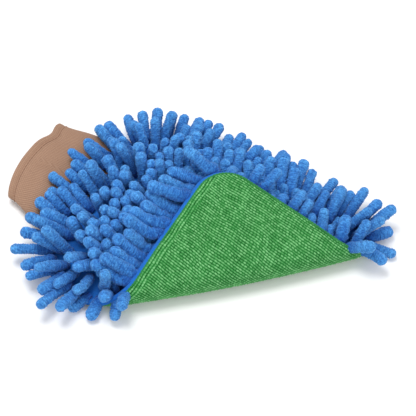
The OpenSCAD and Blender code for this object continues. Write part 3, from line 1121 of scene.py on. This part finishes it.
def add_cuff():
    """Doubled rib knit: ribbed outside, folded over at the mouth, plain inside."""
    rings, ribs = [], []
    for share in np.linspace(0, 1, CUFF_RINGS):
        base = cuff_ring(share, 0.0, False)
        wide = cuff_ring(share, 1.0, False) - base
        arc = arc_length(base[:, 1:])
        along = share * CUFF_LEN
        course = 0.5 + 0.5 * np.cos(2 * math.pi * along / COURSE_PITCH)
        rib = 0.5 + 0.5 * np.cos(2 * math.pi * (arc / RIB_PITCH + 0.25 * math.sin(along / 6)))
        near_mouth = smooth((share - 0.72) / 0.14)
        knit = rib * (0.6 + 0.4 * course) * (1 - 0.6 * near_mouth) + 0.6 * near_mouth * course
        hem = math.exp(-((share - HEM_SHARE) / 0.010) ** 2)
        rings.append(base + wide * (RIB_DEPTH * knit - HEM_DENT * hem)[:, None])
        # ribs follow the knit's relief, for painted shade in its grooves and in the hem's dent.
        ribs.append(np.clip(knit * (1 - 0.6 * hem), 0, 1))
    outer, inner = cuff_ring(1.0, 0.0, False), cuff_ring(1.0, 0.0, True)
    mid, half = (outer + inner) / 2, (outer - inner) / 2
    for angle in np.radians(np.linspace(20, 160, 7)):
        turn = mid + half * math.cos(angle)
        turn[:, 0] -= KNIT_T / 2 * math.sin(angle)
        rings.append(turn)
    rings += [cuff_ring(share, 0.0, True) for share in np.linspace(1, 0, CUFF_INNER_RINGS)]
    ribs.append(np.full((len(rings) - CUFF_RINGS) * CUFF_AROUND, 0.5))
    faces = grid_faces(len(rings), CUFF_AROUND, closed=True)
    last = (len(rings) - 1) * CUFF_AROUND
    around = range(CUFF_AROUND)
    faces += [[last + k, last + (k + 1) % CUFF_AROUND, (k + 1) % CUFF_AROUND, k] for k in around]
    piece = new_mesh("rib_knit_cuff", np.vstack(rings), faces, "mitt", KNIT, "rib_knit")
    set_attribute(piece, "rib", np.concatenate(ribs))
    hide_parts("cuff", "cuff_joint_seam", "cuff_side_seam")


add_cuff()


STITCH_PITCH = 3.2
STITCH_GAP = 0.8
STITCH_R = 0.28
STITCH_ARCH = 0.3
STITCH_POINTS = 5
STITCH_SIDES = 6


def stitch_rings(line):
    """Rings of one stitch along a line on the cuff, arched outward and thinner at its ends."""
    angle = np.arange(STITCH_SIDES)[:, None] * 2 * math.pi / STITCH_SIDES
    rings = []
    for share, place in zip(np.linspace(0, 1, STITCH_POINTS), line):
        size = STITCH_R * (0.5 + 0.5 * math.sin(math.pi * (0.15 + 0.7 * share)))
        outward = place - (place[0], 0.9 * place[1], MOUTH_Z)
        outward /= np.linalg.norm(outward)
        centre = place + outward * math.sin(math.pi * share) * STITCH_ARCH
        rings.append(centre + size * (np.cos(angle) * (1, 0, 0) + np.sin(angle) * outward))
    return rings


def add_thread_loop(name, share, nodes):
    """Row of short stitches round the cuff."""
    base = cuff_ring(share, 0.12, False)
    arc = arc_length(base)
    stitches = []
    for start in np.arange(0, arc[-1] - STITCH_PITCH, STITCH_PITCH):
        at = np.linspace(start, start + STITCH_PITCH - STITCH_GAP, STITCH_POINTS)
        stitches.append(closed_shell(stitch_rings(on_line(base, arc, at))))
    piece = new_mesh(name, *joined(stitches), "mitt", CUFF_THREAD, "cuff_thread")
    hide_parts(*nodes)


add_thread_loop("cuff_hem_thread", 0.90, ["cuff_hem_stitching"])


# ---- Linings inside the pocket, and the edge seam ----

LINING_AROUND = 240
LINING_T = 0.5
LOW_LINING_Z = 3.5
LOW_INSET = 9.0
HIGH_LINING_DROP = 1.5
HIGH_INSET = 11.0


def add_lining(name, level, body, s_low, s_high, node, inset):
    """Part of one lining, at the height that level gives, inset from the outline."""
    border, normal = outline_points(LINING_AROUND)
    rings = []
    for share in np.linspace(0.02, 1, 24):
        p = border * share - normal * inset * share
        rings.append(np.column_stack([p, level(p[:, 0], p[:, 1])]))
    under = [ring - (0, 0, LINING_T) for ring in rings]
    points, faces = cut_at_crease(*closed_shell(rings + under[::-1]), s_low, s_high)
    piece = new_mesh(name, fold(points), faces, body, LINING, "lining")
    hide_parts(node)


def low_level(x, y):
    return np.full(len(x), LOW_LINING_Z)


def high_level(x, y):
    return base_height(x, y) - HIGH_LINING_DROP


LINING_ZONES = [
    ("mitt", "", None, -BEND_LEN - 4),
    ("fold_wall", "fold_", WALL / 2 - 2, WALL / 2 + 2),
    ("corner", "corner_", WALL + BEND_LEN + 4, None)]
for body, prefix, *span in LINING_ZONES:
    add_lining(f"pocket_{prefix}lining_low", low_level, body, *span, f"{prefix}back_lining", LOW_INSET)
    add_lining(f"pocket_{prefix}lining_high", high_level, body, *span, f"{prefix}palm_lining", HIGH_INSET)


SEAM_AROUND = 900
SEAM_SIDES = 8
SEAM_R = 0.75
SEAM_TWIST = 0.22


def add_seam(name, body, joint, s_low, s_high, nodes):
    """Overlocked seam where the terry back meets the rolled base cloth."""
    border, normal = outline_points(SEAM_AROUND)
    r = SEAM_R + SEAM_TWIST * np.sin(np.arange(SEAM_AROUND) * 2 * math.pi / 3)
    rings = []
    for angle in np.arange(SEAM_SIDES) * 2 * math.pi / SEAM_SIDES:
        p = border + normal * (0.3 + r * math.cos(angle))[:, None]
        rings.append(np.column_stack([p, SEAM_Z + 0.2 + r * math.sin(angle) * 0.8]))
    faces = grid_faces(SEAM_SIDES + 1, SEAM_AROUND, closed=True)
    wrap = SEAM_SIDES * SEAM_AROUND
    faces = [[k % wrap for k in face] for face in faces]
    points, faces = cut_at_crease(np.vstack(rings), faces, s_low, s_high)
    piece = new_mesh(name, fold(points), faces, body, SEAM_THREAD, "seam_tape")
    if joint:
        blend_across(piece, joint)
    if nodes:
        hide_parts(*nodes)


add_seam("edge_seam_palm", "mitt", None, None, -BEND_LEN - 2, ["edge_seam"])
add_seam("edge_seam_fold_lower", None, "lower", -BEND_LEN - 2, WALL / 2, [])
add_seam("edge_seam_fold_upper", None, "upper", WALL / 2, WALL + BEND_LEN + 2, ["fold_edge_seam"])
add_seam("edge_seam_corner", "corner", None, WALL + BEND_LEN + 2, None, ["corner_edge_seam"])


# ---- Stage, lights and camera ----

def add_stage():
    """Pale floor just under the mitt."""
    bpy.ops.mesh.primitive_plane_add(size=12, location=(0, 0, -0.0004))
    floor = bpy.context.object
    floor.name = "floor"
    floor.data.materials.append(material("floor_white", Base_Color=(0.95, 0.95, 0.95, 1), Roughness=0.9)[0])


def add_light(name, place, size, power):
    """Round soft light aimed at the middle of the mitt."""
    data = bpy.data.lights.new(name, "AREA")
    data.shape = "DISK"
    data.size = size
    data.energy = power
    lamp = new_object(name, data)
    lamp.location = place
    lamp.rotation_euler = (-Vector(place)).to_track_quat("-Z", "Y").to_euler()


CAMERA_PLACE = (0.1857, -0.3742, 0.6300)
YAW, PITCH, ROLL = 26.49, -53.70, 4.12
LENS = 83.7


def add_camera():
    """Camera looking down at the mitt from its near fingertip side."""
    yaw, pitch, roll = (math.radians(angle) for angle in (YAW, PITCH, ROLL))
    ahead = Vector((-math.sin(yaw) * math.cos(pitch), math.cos(yaw) * math.cos(pitch), math.sin(pitch)))
    right = ahead.cross(Vector((0, 0, 1))).normalized()
    up = right.cross(ahead)
    right, up = (right * math.cos(roll) + up * math.sin(roll), up * math.cos(roll) - right * math.sin(roll))
    data = bpy.data.cameras.new("camera")
    data.sensor_width = 36
    data.lens = LENS
    camera = new_object("camera", data)
    axes = Matrix((right, up, -ahead)).transposed().to_4x4()
    camera.matrix_world = Matrix.Translation(CAMERA_PLACE) @ axes
    bpy.context.scene.camera = camera


add_stage()
add_light("key", (-0.35, 0.1, 1.2), 0.6, 8.4)
add_light("fill", (0.8, -0.7, 0.8), 0.9, 3)
world = bpy.data.worlds.new("studio")
world.use_nodes = True
background = world.node_tree.nodes["Background"]
background.inputs["Color"].default_value = (1, 1, 1, 1)
background.inputs["Strength"].default_value = 0.77
bpy.context.scene.world = world
bpy.context.scene.view_settings.view_transform = "Standard"
add_camera()
